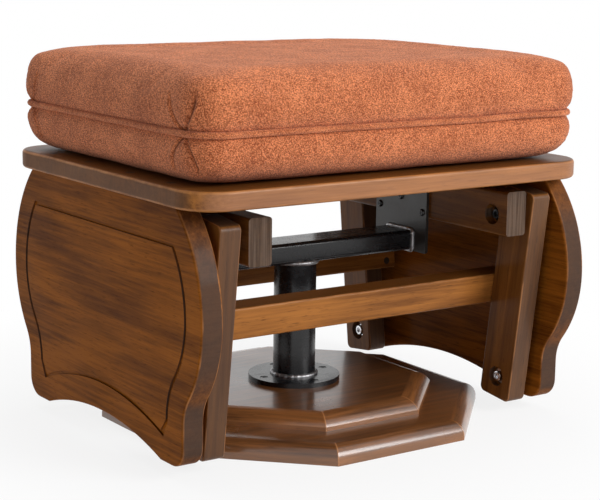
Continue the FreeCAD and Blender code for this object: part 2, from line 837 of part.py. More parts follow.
def loft(name, rings):
    made = doc.addObject("Part::Loft", name)
    made.Sections = [cushion_ring(f"{name}_ring_{i}", *ring) for i, ring in enumerate(rings)]
    made.Solid = True
    made.Ruled = False
    made.MaxDegree = 3
    return made


corner = size("cushion_corner")
welt = size("welt_height")
crown = size("cushion_crown")
lower_half_cushion = loft(
    "cushion_lower",
    [
        (24.0, cushion_base, corner - 14),
        (11.0, cushion_base + 5, corner - 6),
        (3.0, cushion_base + 16, corner - 2),
        (0.8, cushion_base + 30, corner),
        (2.6, welt - 12, corner - 2),
        (waist_inset, welt, corner - 6),
    ],
)
upper_half_cushion = loft(
    "cushion_upper",
    [
        (waist_inset, welt, corner - 6),
        (2.6, welt + 12, corner - 2),
        (0.0, welt + 28, corner),
        (3.0, welt + 46, corner),
        (12.0, welt + 58, corner - 2),
        (22.0, welt + 63, corner - 4),
        (36.0, welt + 67, corner - 8),
        (56.0, welt + 70, corner - 14),
        (84.0, crown - 1, corner - 20),
        (120.0, crown, corner - 24),
    ],
)
cushion_form = joined("cushion_form", [lower_half_cushion, upper_half_cushion])

welt_path = doc.addObject("Sketcher::SketchObject", "welt_path")
welt_inset = size("welt_inset")
path(welt_path, rounded_pieces(full_x - welt_inset, full_y - welt_inset, corner - 4))
welt_path.Placement.Base = V(0, 0, welt)


def welt_tube(name, radius):
    section = doc.addObject("Sketcher::SketchObject", f"{name}_section")
    section.addGeometry(Part.Circle(V(0, 0, 0), V(0, 0, 1), radius))
    section.Placement = FreeCAD.Placement(
        V(0, -full_y + welt_inset, welt), FreeCAD.Rotation(V(0, 0, 1), V(1, 0, 0))
    )
    made = doc.addObject("Part::Sweep", name)
    made.Sections = [section]
    made.Spine = (welt_path, [f"Edge{i}" for i in range(1, 9)])
    made.Solid = True
    made.Frenet = False
    return made


node("cushion_piping", welt_tube("cushion_piping", size("welt_radius")))
welt_bed = welt_tube("welt_bed", size("welt_radius") + size("welt_play"))

foam = body("cushion_foam")
foam_outline = sketch(foam, "XY_Plane")
path(
    foam_outline,
    rounded_pieces(size("foam_half_length"), size("foam_half_depth"), size("foam_corner")),
)
pad(foam, foam_outline, "foam_thickness")
foam.setExpression("Placement.Base.z", "Sheet.foam_base")
node("cushion_foam", foam)
node("cushion_cover", cut("cushion_cover", cushion_form, [welt_bed, foam]))

doc.recompute()

# Every object has to be sound before the solids are written.

for item in doc.Objects:
    if "Invalid" in item.State or "Error" in item.State:
        raise RuntimeError(f"{item.Name} is {item.State}")
for name, item in nodes.items():
    shape = item.Shape
    if shape.isNull() or not shape.isValid() or not shape.Solids:
        raise RuntimeError(f"{name} has no sound solid")
    shape.exportStep(f"parts/{name}.step")
    print(name, len(shape.Solids), round(shape.Volume), shape.BoundBox)
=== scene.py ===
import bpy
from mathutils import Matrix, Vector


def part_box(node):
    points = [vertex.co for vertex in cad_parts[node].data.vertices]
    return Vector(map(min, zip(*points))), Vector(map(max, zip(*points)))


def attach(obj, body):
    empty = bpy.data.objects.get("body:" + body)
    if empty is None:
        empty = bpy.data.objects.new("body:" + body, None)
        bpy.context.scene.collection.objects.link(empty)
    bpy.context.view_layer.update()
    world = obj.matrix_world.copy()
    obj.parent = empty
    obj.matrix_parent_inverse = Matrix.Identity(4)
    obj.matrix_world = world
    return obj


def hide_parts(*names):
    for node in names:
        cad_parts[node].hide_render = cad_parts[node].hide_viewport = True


bl_info = {
    "name": "Glider Ottoman",
    "version": (1, 0, 0),
    "blender": (4, 5, 0),
    "location": "3D View > Sidebar > Ottoman",
    "description": "Upholstery, lacquered wood and steel finishes for a glider ottoman on its fixed frame",
    "category": "Object",
}

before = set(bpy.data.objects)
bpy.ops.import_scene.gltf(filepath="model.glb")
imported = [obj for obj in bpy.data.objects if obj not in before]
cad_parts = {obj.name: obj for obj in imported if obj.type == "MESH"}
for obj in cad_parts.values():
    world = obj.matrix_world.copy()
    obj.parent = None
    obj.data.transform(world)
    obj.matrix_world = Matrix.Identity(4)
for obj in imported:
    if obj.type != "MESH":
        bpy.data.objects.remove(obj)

import math

import bmesh
import bpy
import numpy as np
from mathutils import Matrix, Vector, noise

MM = 0.001
SHARP_OVER = math.radians(32)
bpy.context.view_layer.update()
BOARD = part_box("seat_board")
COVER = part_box("cushion_cover")
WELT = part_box("cushion_piping")

# Each corner of the cover has two darts above the welt and two below; they leave the welt at
# the short side's end of the corner's arc and curve apart until they run straight up or down.
DART_SPREAD = 0.021
DART_HEIGHT = 0.041
DART_START = 0.030
CORNER = 0.040


def colour(red, green, blue):
    """Display values from 0 to 255 as linear values."""
    parts = []
    for value in (red, green, blue):
        share = value / 255
        parts.append(share / 12.92 if share < 0.04045 else ((share + 0.055) / 1.055) ** 2.4)
    return tuple(parts)


def scaled(shade, share):
    """A colour made darker or lighter."""
    return tuple(value * share for value in shade)


def colour_setting(name, description, shade):
    return bpy.props.FloatVectorProperty(
        name=name, description=description, subtype="COLOR", size=3, min=0, max=1, default=shade
    )


def length_setting(name, description, millimetres):
    return bpy.props.FloatProperty(
        name=name, description=description, unit="LENGTH", precision=4, default=millimetres * MM
    )


def share_setting(name, description, value):
    return bpy.props.FloatProperty(
        name=name, description=description, subtype="FACTOR", min=0, max=1, default=value
    )


def power_setting(name, description, watts):
    return bpy.props.FloatProperty(name=name, description=description, default=watts, unit="POWER")


# Settings that a user would change.


class WoodSettings(bpy.types.PropertyGroup):
    panel_light: colour_setting("Panel light", "Open grain of the panels", colour(156, 90, 26))
    panel_dark: colour_setting("Panel dark", "Dense grain of the panels", colour(94, 50, 12))
    frame_light: colour_setting("Frame light", "Open grain of arms and rails", colour(176, 112, 50))
    frame_dark: colour_setting("Frame dark", "Dense grain of arms and rails", colour(118, 70, 28))
    base_light: colour_setting("Base light", "Open grain of the octagons", colour(152, 96, 52))
    base_dark: colour_setting("Base dark", "Dense grain of the octagons", colour(86, 54, 32))
    # The worn edge colour stands both for stain rubbed thin and for a painted highlight along the arrises.
    worn_edge_and_highlight: colour_setting("Worn edge", "Stain rubbed thin along the arrises", colour(196, 134, 84))
    end_grain: colour_setting("End grain", "Cut ends of the boards", colour(100, 86, 76))
    # The next two colours are painted reflections on the faces towards the front.
    board_front_reflection: colour_setting("Board haze", "Dull bloom on the front of the board", colour(178, 130, 102))
    arm_haze: colour_setting("Arm haze", "Dull bloom on the front edges", colour(76, 68, 64))
    lacquer: share_setting("Lacquer roughness", "Roughness of the lacquered faces", 0.4)
    gloss: share_setting("Gloss", "Reflection of the lacquer seen head on", 0.16)


class FabricSettings(bpy.types.PropertyGroup):
    loop_light: colour_setting("Loop light", "Tips of the fabric's loops", colour(250, 154, 102))
    # The gap colour is painted shade in the hollows between the loops.
    loop_gap_shade: colour_setting("Loop dark", "Gaps between the loops", colour(146, 68, 32))
    loop_size: length_setting("Loop size", "Width of one loop of the fabric", 1.25)
    seam_depth: length_setting("Seam depth", "How far the corner seams draw in", 3.2)
    roughness: share_setting("Roughness", "Roughness of the yarn", 0.95)


class CushionSettings(bpy.types.PropertyGroup):
    voxel: length_setting("Cloth cell", "Cell size of the cloth before it is blown up", 4.2)
    swell_limit: length_setting("Swell limit", "Furthest that a point of the cover may move", 7.0)
    pressure: bpy.props.FloatProperty(
        name="Pressure", description="Push of the wadding on the cover", default=4.0, min=0.0
    )
    fill: share_setting("Fill", "How tightly the cushion is stuffed", 0.85)
    waist: length_setting("Waist", "How far the welt is drawn in", 5.4)
    welt_radius: length_setting("Welt radius", "Radius of the covered cord", 3.7)


class SteelSettings(bpy.types.PropertyGroup):
    paint: colour_setting("Paint", "Black paint of column and crossbar", colour(24, 25, 28))
    plate: colour_setting("Plates", "Satin finish of the end plates", colour(46, 43, 40))
    weld: colour_setting("Weld", "Bare metal of the weld beads", colour(58, 58, 60))
    bolt: colour_setting("Bolts", "Bright pivot bolts", colour(226, 226, 228))
    bead_radius: length_setting("Bead radius", "Radius of a weld bead", 2.7)


class StageSettings(bpy.types.PropertyGroup):
    floor: colour_setting("Floor", "Colour of the floor", (0.86, 0.86, 0.86))
    key_power: power_setting("Key", "Main soft box", 70.0)
    fill_power: power_setting("Fill", "Side soft box", 3.5)
    top_power: power_setting("Top", "Overhead soft box", 25.0)
    ambient: share_setting("Ambient", "Strength of the surrounding light", 0.33)


# Shader maths as expressions.


class Value:
    """A shader socket; arithmetic on it adds Math nodes to its tree."""

    def __init__(self, tree, socket):
        self.tree = tree
        self.socket = socket

    def node(self, kind, settings=None, inputs=None, output=0):
        """Adds a node with its settings, then the values or links of its sockets."""
        made = self.tree.nodes.new(kind)
        for name, setting in (settings or {}).items():
            if name == "stops":
                ramp = made.color_ramp.elements
                while len(ramp) < len(setting):
                    ramp.new(1.0)
                for element, (place, shade) in zip(ramp, setting):
                    element.position = place
                    element.color = (*shade, 1.0)
            else:
                setattr(made, name, setting)
        for key, value in (inputs or {}).items():
            if isinstance(value, Value):
                self.tree.links.new(value.socket, made.inputs[key])
            else:
                made.inputs[key].default_value = value
        return Value(self.tree, made.outputs[output])

    def math(self, operation, *terms):
        return self.node("ShaderNodeMath", {"operation": operation}, dict(enumerate(terms)))

    def __add__(self, other):
        return self.math("ADD", self, other)

    __radd__ = __add__

    def __sub__(self, other):
        return self.math("SUBTRACT", self, other)

    def __rsub__(self, other):
        return self.math("SUBTRACT", other, self)

    def __mul__(self, other):
        return self.math("MULTIPLY", self, other)

    __rmul__ = __mul__

    def __truediv__(self, other):
        return self.math("DIVIDE", self, other)

    def __pow__(self, other):
        return self.math("POWER", self, other)

    def __abs__(self):
        return self.math("ABSOLUTE", self)

    def step(self, low, high):
        """0 below low, 1 above high and smooth between."""
        settings = {"interpolation_type": "SMOOTHSTEP"}
        return self.node("ShaderNodeMapRange", settings, {"Value": self, "From Min": low, "From Max": high})

    def part(self, axis):
        return self.node("ShaderNodeSeparateXYZ", None, {0: self}, "XYZ".index(axis))

    def stretched(self, x, y, z):
        """Coordinates divided by a size in metres along each axis."""
        settings = {"operation": "DIVIDE"}
        return self.node("ShaderNodeVectorMath", settings, {0: self, 1: (x, y, z)})

    def shifted(self, x, y, z):
        return self.node("ShaderNodeVectorMath", {"operation": "ADD"}, {0: self, 1: (x, y, z)})

    def turned(self, axis, angle):
        settings = {"rotation_type": f"{axis}_AXIS"}
        return self.node("ShaderNodeVectorRotate", settings, {"Vector": self, "Angle": angle})

    def noise(self, detail=2.0, roughness=0.5, distortion=0.0):
        inputs = {
            "Vector": self,
            "Scale": 1.0,
            "Detail": detail,
            "Roughness": roughness,
            "Distortion": distortion,
        }
        return self.node("ShaderNodeTexNoise", None, inputs)

    def cloud(self, size, **options):
        """Noise whose lumps have one size in metres."""
        return self.stretched(size, size, size).noise(**options)

    def cells(self, feature="F1"):
        return self.node("ShaderNodeTexVoronoi", {"feature": feature}, {"Vector": self, "Scale": 1.0})

    def ramp(self, stops):
        return self.node("ShaderNodeValToRGB", {"stops": stops}, {0: self})

    def blend(self, first, second):
        """Mixes two colours, this value being the share of the second."""
        inputs = {0: self, 6: rgba(first), 7: rgba(second)}
        return self.node("ShaderNodeMix", {"data_type": "RGBA"}, inputs, 2)

    def bump(self, strength, distance):
        inputs = {"Height": self, "Strength": strength, "Distance": distance}
        return self.node("ShaderNodeBump", None, inputs)


def rgba(shade):
    return shade if isinstance(shade, Value) else (*tuple(shade)[:3], 1.0)


def new_material(name):
    """An empty material with its output node, and its object coordinates."""
    made = bpy.data.materials.new(name)
    made.use_nodes = True
    tree = made.node_tree
    tree.nodes.clear()
    tree.nodes.new("ShaderNodeOutputMaterial")
    coordinates = tree.nodes.new("ShaderNodeTexCoord")
    return made, Value(tree, coordinates.outputs["Object"])


def facing_of(place):
    """The object's own normal, from the node that gives its coordinates."""
    return Value(place.tree, place.socket.node.outputs["Normal"])


def surface(material, **sockets):
    """Ends a material in a Principled shader; underscores in socket names stand for spaces."""
    tree = material.node_tree
    start = Value(tree, None)
    inputs = {name.replace("_", " "): value for name, value in sockets.items()}
    inputs["Base Color"] = rgba(inputs["Base Color"])
    end_in(tree, start.node("ShaderNodeBsdfPrincipled", None, inputs))
    return material


def end_in(tree, shader):
    """Links a shader to the surface of the tree's output node."""
    output = next(node for node in tree.nodes if node.type.startswith("OUTPUT_"))
    tree.links.new(shader.socket, output.inputs["Surface"])


# Finishes.


def grain_colour(place, light, dark, seed, along="X", grain_length=0.24):
    """Colour, streaks and pores of stained wood whose grain runs along one axis."""

    def stretched(width, length):
        spans = [length if axis == along else width for axis in "XYZ"]
        return place.shifted(seed * 0.37, seed * 0.73, seed * 0.19).stretched(*spans)

    blotch = stretched(0.07, 0.22).noise(detail=3.0)
    figure = stretched(0.011, grain_length).noise(detail=3.0, distortion=0.9)
    streak = stretched(0.0026, grain_length * 0.32).noise(detail=4.0, roughness=0.62)
    pores = stretched(0.0011, 0.016).noise(detail=2.0).step(0.6, 0.72)
    tone = blotch + figure * 0.85 + streak * 0.75 - 0.8
    middle = tuple((a + b) / 2 for a, b in zip(light, dark))
    stops = [(0.12, dark), (0.5, middle), (0.88, light)]
    shade = tone.step(0.0, 1.0).ramp(stops)
    deep = scaled(dark, 0.45)
    return (pores * 0.55).blend(shade, deep), streak, pores


def wood(name, along, light, dark, seed, lean=0.0, stripes="X", face=None, gloss=None, cut=1.0, front=None):
    """Stained and lacquered wood whose grain runs along an axis.

    The broad faces look along the axis face, cut is how much end grain shows, stripes is the
    axis across its rings, and front is the colour of a painted reflection on the faces towards -Y.
    """
    look = bpy.context.scene.ottoman_wood
    made, place = new_material(name)
    facing = facing_of(place)
    if lean:
        place = place.turned("X", lean)
        facing = facing.turned("X", lean)
    shade, streak, pores = grain_colour(place, light, dark, seed, along=along)
    ends = abs(facing.part(along)).step(0.82, 0.97)
    spans = {"X": (0.0016, 0.03, 0.09), "Y": (0.03, 0.0016, 0.09), "Z": (0.05, 0.02, 0.0016)}[stripes]
    rings = place.stretched(*spans).noise(detail=3.0, distortion=0.4)
    tint = tuple(a * cut + b * (1 - cut) * 0.55 for a, b in zip(look.end_grain, dark))
    cut_dark = scaled(tint, 1.0 - 0.64 * cut)
    cut_shade = rings.step(0.32, 0.68).blend(cut_dark, tint)
    shade = (ends * 0.8).blend(shade, cut_shade)
    # Painted reflection: faces towards -Y are blended towards the front colour.
    if front:
        painted_reflection_share = (facing.part("Y") * -1).step(0.55, 0.95)
        shade = (painted_reflection_share * (streak * 0.3 + 0.3)).blend(shade, front)
    # Painted shade: faces that look up are made darker.
    painted_top_shade = facing.part("Z").step(0.75, 0.95)
    shade = (painted_top_shade * 0.8).blend(shade, scaled(dark, 0.5))
    # The rounded arrises turn lighter in patches: worn stain together with a painted highlight.
    if face:
        share = abs(facing.part(face))
        arris = (share * (1 - share) * 4).step(0.55, 0.98)
        patchy = place.cloud(0.03, detail=2.0).step(0.35, 0.7)
        shade = (arris * patchy * 0.55).blend(shade, look.worn_edge_and_highlight)
    cloud = place.cloud(0.05, detail=3.0)
    roughness = look.lacquer + (cloud - 0.5) * 0.22 + pores * 0.12 + ends * 0.16
    relief = streak * 0.5 - pores * 0.8 - rings * ends * 0.9
    return surface(
        made,
        Base_Color=shade,
        Roughness=roughness,
        Normal=relief.bump(0.22, 0.0004),
        Specular_IOR_Level=look.gloss if gloss is None else gloss,
        Coat_Weight=0.05,
        Coat_Roughness=0.14,
    )


def octagon_wood(name, light, dark, seed, top_half, half):
    """Wood of an octagonal tier: the moulded edge has its grain along each side, with mitred corners."""
    look = bpy.context.scene.ottoman_wood
    made, place = new_material(name)
    facing = facing_of(place)
    x, y = place.part("X"), place.part("Y")
    eighth = math.radians(45)
    angle = y.math("ARCTAN2", y, x)
    sector = angle.math("ROUND", angle / eighth, 0.0) * eighth
    outward = place.turned("Z", 0 - sector)
    shift = side_offset(outward, sector)
    local = outward.node("ShaderNodeVectorMath", {"operation": "ADD"}, {0: outward, 1: shift})
    edge_shade, edge_streak, edge_pores = grain_colour(local, light, dark, seed, "Y", 0.16)
    top_light = scaled(light, 0.72)
    top_dark = scaled(dark, 0.85)
    top_shade, top_streak, _ = grain_colour(place, top_light, top_dark, seed + 3)
    reach = outward.part("X")
    moulded = reach.step(top_half * MM - 0.0006, top_half * MM + 0.0002)
    shade = moulded.blend(top_shade, edge_shade)
    # Thin lighter lines at the mitres: partly the joint, partly a painted highlight along the corners.
    mitre = (abs(angle - sector) * -1 + eighth / 2) * reach
    line = (1 - mitre.step(0.0002, 0.0011)) * moulded
    shade = (line * 0.75).blend(shade, look.worn_edge_and_highlight)
    # A lighter band along the foot of the moulded edge: a painted highlight with some wear.
    rim = reach.step(half * MM - 0.0016, half * MM - 0.0002) * (1 - abs(facing.part("Z")).step(0.9, 1.0))
    shade = (rim * 0.3).blend(shade, look.worn_edge_and_highlight)
    cloud = place.cloud(0.06, detail=3.0)
    roughness = 0.3 + (cloud - 0.5) * 0.2 + edge_pores * moulded * 0.1
    relief = top_streak * 0.3 + edge_streak * moulded * 0.4 - line * 0.8
    return surface(
        made,
        Base_Color=shade,
        Roughness=roughness,
        Normal=relief.bump(0.16, 0.0004),
        Coat_Weight=0.6,
        Coat_Roughness=0.14,
    )


def side_offset(outward, sector):
    """Moves each side's grain so that no two sides of an octagon carry the same figure."""
    shift = sector * 0.11
    return outward.node("ShaderNodeCombineXYZ", None, {"X": 0.0, "Y": shift, "Z": shift * 0.7})


def dart_line(place):
    """1 along the dart seams of the cover's corners, 0 elsewhere."""
    x = abs(place.part("X")) - (COVER[1][0] - CORNER)
    y = abs(place.part("Y")) - (COVER[1][1] - CORNER)
    rise = abs(place.part("Z") - (WELT[0][2] + WELT[1][2]) / 2) / DART_HEIGHT
    turn = x.math("ARCTAN2", x.math("MAXIMUM", x, 0.000001), y.math("MAXIMUM", y, 0.0))
    beyond = y.math("MAXIMUM", 0 - y, 0.0) - x.math("MAXIMUM", 0 - x, 0.0)
    arc = abs((turn - math.radians(45)) * CORNER + beyond - DART_START)
    rest = 1 - rise.math("MINIMUM", rise, 1.0)
    path = (1 - rest * rest) * DART_SPREAD
    slope = rest * (2 * DART_SPREAD / DART_HEIGHT)
    off = abs(arc - path) / ((slope * slope + 1) ** 0.5)
    outside = x.math("MAXIMUM", x, 0.0) + y.math("MAXIMUM", y, 0.0)
    return (1 - off.step(0.0003, 0.0016)) * (1 - rise.step(0.85, 1.02)) * outside.step(0.02, 0.03)


def loop_fabric(name, seed, loop_scale=1.0, darts=False):
    """Looped wool fabric: round curls of yarn, with painted shade in the gaps between them."""
    look = bpy.context.scene.ottoman_fabric
    made, place = new_material(name)
    loop = look.loop_size * loop_scale
    moved = place.shifted(seed * 0.31, seed * 0.17, seed * 0.53)
    sway = moved.cloud(0.006, detail=2.0)
    curled = moved.cloud(loop, detail=3.0, roughness=0.65, distortion=1.6)
    dots = moved.stretched(loop, loop, loop).cells("SMOOTH_F1")
    yarn = moved.cloud(0.0009, detail=2.0)
    height = (1 - dots) * 0.55 + curled * 0.75 + yarn * 0.2
    patch = moved.cloud(0.045, detail=3.0)
    lift = height + (patch - 0.5) * 0.2 + (sway - 0.5) * 0.15
    light, dark = tuple(look.loop_light), tuple(look.loop_gap_shade)
    middle = tuple(a * 0.55 + b * 0.45 for a, b in zip(light, dark))
    # Lower points of the loops are darker: painted shade in the gaps.
    shade = lift.step(0.55, 1.15).ramp([(0.14, dark), (0.44, middle), (0.76, light)])
    glint = moved.cloud(0.0013, detail=1.0).step(0.6, 0.72)
    shade = (glint * 0.25).blend(shade, colour(246, 186, 150))
    # Painted shade along the creases of the dart seams.
    if darts:
        shade = (dart_line(place) * 0.6).blend(shade, scaled(dark, 0.3))
    return surface(
        made,
        Base_Color=shade,
        Roughness=curled * 0.1 + (look.roughness - 0.05),
        Normal=height.bump(0.75, 0.0016),
        Specular_IOR_Level=0.2,
        Sheen_Weight=0.25,
        Sheen_Roughness=0.5,
        Sheen_Tint=(1.0, 0.78, 0.66, 1.0),
    )


def foam(name):
    made, place = new_material(name)
    pits = place.stretched(0.0022, 0.0022, 0.0022).cells()
    cloud = place.cloud(0.03, detail=3.0)
    shade = (pits * 0.6 + cloud * 0.4).blend(colour(236, 226, 178), colour(196, 180, 120))
    return surface(made, Base_Color=shade, Roughness=0.9 + cloud * 0.1, Normal=pits.bump(0.5, 0.001))


def painted_steel(name, shade, gloss, orange_peel=0.12):
    """Sprayed steel with orange peel, dust and fine rubbed streaks."""
    made, place = new_material(name)
    peel = place.cloud(0.0028, detail=2.0)
    dust = place.cloud(0.02, detail=4.0, roughness=0.6)
    specks = place.cloud(0.0016, detail=1.0).step(0.7, 0.76)
    rubbed = place.stretched(0.09, 0.006, 0.004).noise(detail=4.0).step(0.55, 0.8)
    lighter = tuple(min(1.0, value * 2.6 + 0.012) for value in shade)
    mixed = (dust.step(0.4, 0.8) * 0.4 + specks * 0.3 + rubbed * 0.15).blend(shade, lighter)
    roughness = gloss + (dust - 0.5) * 0.2 + rubbed * 0.12 + specks * 0.2
    return surface(
        made,
        Base_Color=mixed,
        Roughness=roughness,
        Metallic=0.0,
        Normal=peel.bump(orange_peel, 0.0003),
        Coat_Weight=0.14,
        Coat_Roughness=0.1,
    )


def bare_metal(name, shade, roughness, scale=0.001, marks=0.3):
    """Bare or plated metal with fine marks and tarnish."""
    made, place = new_material(name)
    fine = place.stretched(scale, scale, scale * 4).noise(detail=4.0, roughness=0.6)
    tarnish = place.cloud(0.006, detail=4.0, roughness=0.65)
    dark = scaled(shade, 0.35)
    mixed = (tarnish.step(0.5, 0.8) * marks).blend(shade, dark)
    rough = roughness + (fine - 0.5) * 0.25 + tarnish.step(0.5, 0.8) * 0.2
    return surface(
        made, Base_Color=mixed, Roughness=rough, Metallic=1.0, Normal=fine.bump(0.2 * marks + 0.05, 0.0002)
    )


def nylon(name):
    made, place = new_material(name)
    haze = place.cloud(0.004, detail=3.0)
    shade = haze.blend(colour(226, 224, 216), colour(198, 192, 178))
    return surface(made, Base_Color=shade, Roughness=0.42 + haze * 0.2, Normal=haze.bump(0.1, 0.0002))


def shared(name, maker, *values, **options):
    """Returns a finish, made at its first use."""
    found = bpy.data.materials.get(name)
    return found or maker(name, *values, **options)


def dress(nodes, material):
    """Gives the named nodes of the frame a finish."""
    for node in nodes.split():
        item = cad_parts[node]
        item.data.materials.clear()
        item.data.materials.append(material)


# Mesh building.


def mesh_piece(name, shell, material, body, node, crisp=False):
    """A piece from a shell's vertices and faces, riding on a body and standing for a node."""
    mesh = bpy.data.meshes.new(name)
    mesh.from_pydata([tuple(point) for point in shell.vertices], [], shell.faces)
    mesh.validate()
    made = bpy.data.objects.new(name, mesh)
    bpy.context.scene.collection.objects.link(made)
    build = bmesh.new()
    build.from_mesh(mesh)
    bmesh.ops.recalc_face_normals(build, faces=build.faces)
    for edge in build.edges:
        if crisp and edge.calc_face_angle(0.0) > SHARP_OVER:
            edge.smooth = False
    build.to_mesh(mesh)
    build.free()
    mesh.polygons.foreach_set("use_smooth", [True] * len(mesh.polygons))
    mesh.materials.append(material)
    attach(made, body)
    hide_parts(node)
    return made


class Shell:
    """Collects vertices and faces of several closed parts of one piece."""

    def __init__(self):
        self.vertices = []
        self.faces = []

    def rings(self, rings, closed=False):
        """Joins equal rings of points by quads; ends are capped unless the rings close on themselves."""
        start = len(self.vertices)
        count = len(rings[0])
        for ring in rings:
            self.vertices.extend(ring)
        last = len(rings) if closed else len(rings) - 1
        for i in range(last):
            low = start + i * count
            high = start + (i + 1) % len(rings) * count
            for j in range(count):
                k = (j + 1) % count
                self.faces.append((low + j, low + k, high + k, high + j))
        if not closed:
            self.faces.append(tuple(start + j for j in reversed(range(count))))
            top = start + (len(rings) - 1) * count
            self.faces.append(tuple(top + j for j in range(count)))


def round_ring(radius, height, count):
    """A ring of points; the radius may be a function of the angle."""
    points = []
    for i in range(count):
        angle = math.tau * i / count
        reach = radius(angle) if callable(radius) else radius
        points.append(Vector((reach * math.cos(angle), reach * math.sin(angle), height)))
    return points


def turned_rings(profile, count):
    """Rings from radii and heights in millimetres; a radius may be a function of the angle."""
    rings = []
    for radius, height in profile:
        reach = (lambda angle, r=radius: r(angle) * MM) if callable(radius) else radius * MM
        rings.append(round_ring(reach, height * MM, count))
    return rings


def sleeve_rings(inner, outer, low, high, rim, count):
    """A closed ring of rectangular section, in millimetres, with broken outer edges."""
    section = [
        (inner, low),
        (outer - rim, low),
        (outer, low + rim),
        (outer, high - rim),
        (outer - rim, high),
        (inner, high),
    ]
    return turned_rings(section, count)


def hexagon(apothem):
    """Reach of a hexagon at each angle."""

    def reach(angle):
        return apothem / math.cos(angle % math.radians(60) - math.radians(30))

    return reach


def cross(half_width, length):
    """Reach of a cross recess with four arms at each angle."""

    def reach(angle):
        turn = angle % math.radians(90)
        turn = min(turn, math.radians(90) - turn)
        if math.tan(turn) * length < half_width:
            return length / math.cos(turn)
        return half_width / math.sin(turn)

    return reach


def placed(rings, base, direction):
    """Rings that were laid out along +Z, moved to a point and turned to a direction."""
    turn = Vector((0, 0, 1)).rotation_difference(Vector(direction)).to_matrix().to_4x4()
    move = Matrix.Translation(Vector(base)) @ turn
    return [[move @ point for point in ring] for ring in rings]


def rounded_outline(half_x, half_y, corner, side_steps=(24, 20), corner_steps=12):
    """Points round a rectangle with round corners, starting at the right end of the front."""
    points = []
    centres = [(1, -1), (1, 1), (-1, 1), (-1, -1)]
    for index, (sx, sy) in enumerate(centres):
        cx = sx * (half_x - corner)
        cy = sy * (half_y - corner)
        first = -90 + 90 * index
        for i in range(corner_steps + 1):
            angle = math.radians(first + 90 * i / corner_steps)
            points.append((cx + corner * math.cos(angle), cy + corner * math.sin(angle)))
        nx, ny = centres[(index + 1) % 4]
        angle = math.radians(first + 90)
        start = points[-1]
        end = (
            nx * (half_x - corner) + corner * math.cos(angle),
            ny * (half_y - corner) + corner * math.sin(angle),
        )
        steps = side_steps[(index + 1) % 2]
        for i in range(1, steps):
            share = i / steps
            points.append(
                (start[0] + (end[0] - start[0]) * share, start[1] + (end[1] - start[1]) * share)
            )
    return points


def tube_along(path, radius_at, count=12):
    """Rings of a tube along a closed path of points; radius_at(i, angle) gives its radius."""
    rings = []
    for i, point in enumerate(path):
        direction = (path[(i + 1) % len(path)] - path[i - 1]).normalized()
        side = direction.cross(Vector((0, 0, 1)))
        if side.length < 0.01:
            side = direction.cross(Vector((1, 0, 0)))
        side.normalize()
        up = side.cross(direction)
        ring = []
        for j in range(count):
            angle = math.tau * j / count
            reach = radius_at(i, angle)
            ring.append(point + side * (reach * math.cos(angle)) + up * (reach * math.sin(angle)))
        rings.append(ring)
    return rings


# Cushion.


def inset_rings(half_x, half_y, profile):
    """Rounded rectangles, each with its inset, height and corner radius."""
    rings = []
    for inset, height, corner in profile:
        outline = rounded_outline(half_x - inset, half_y - inset, corner)
        rings.append([Vector((x, y, height)) for x, y in outline])
    return rings


def cushion_start():
    """Rings of the cushion's cover before the wadding fills it, from the underside to the crown."""
    look = bpy.context.scene.ottoman_cushion
    half_x = (COVER[1][0] - COVER[0][0]) / 2 + 0.0022
    half_y = (COVER[1][1] - COVER[0][1]) / 2 + 0.0005
    low = BOARD[1][2] + 0.0008
    welt = (WELT[0][2] + WELT[1][2]) / 2
    crown = COVER[1][2] - 0.005
    waist = look.waist
    profile = [
        (0.110, low, 0.026),
        (0.044, low, 0.028),
        (0.027, low + 0.0028, 0.031),
        (0.0140, low + 0.0095, 0.035),
        (0.0055, low + 0.020, 0.038),
        (0.0020, low + 0.033, 0.038),
        (0.0024, welt - 0.010, 0.038),
        (waist + 0.002, welt - 0.0035, 0.038),
        (waist + 0.003, welt, 0.037),
        (waist + 0.002, welt + 0.0035, 0.038),
        (0.0020, welt + 0.010, 0.038),
        (0.0004, welt + 0.025, 0.038),
        (0.0020, welt + 0.041, 0.038),
        (0.0052, welt + 0.053, 0.037),
        (0.0125, welt + 0.0615, 0.034),
        (0.0280, crown - 0.0045, 0.031),
        (0.0700, crown - 0.0015, 0.028),
        (0.1500, crown, 0.028),
    ]
    return inset_rings(half_x, half_y, profile), welt


def evaluated_mesh(item):
    """The mesh of an object with its modifiers, as a new mesh."""
    graph = bpy.context.evaluated_depsgraph_get()
    return bpy.data.meshes.new_from_object(item.evaluated_get(graph))


def points_of(mesh, measure="co"):
    """Positions of a mesh's vertices, or their normals."""
    flat = np.empty(len(mesh.vertices) * 3)
    mesh.vertices.foreach_get(measure, flat)
    return flat.reshape(-1, 3)


def set_points(mesh, points):
    mesh.vertices.foreach_set("co", points.ravel())
    mesh.update()


def with_modifier(item, kind, **settings):
    """Applies one modifier by taking over the evaluated mesh."""
    modifier = item.modifiers.new(kind.lower(), kind)
    for name, value in settings.items():
        setattr(modifier, name, value)
    mesh = evaluated_mesh(item)
    item.modifiers.clear()
    item.data = mesh
    return mesh


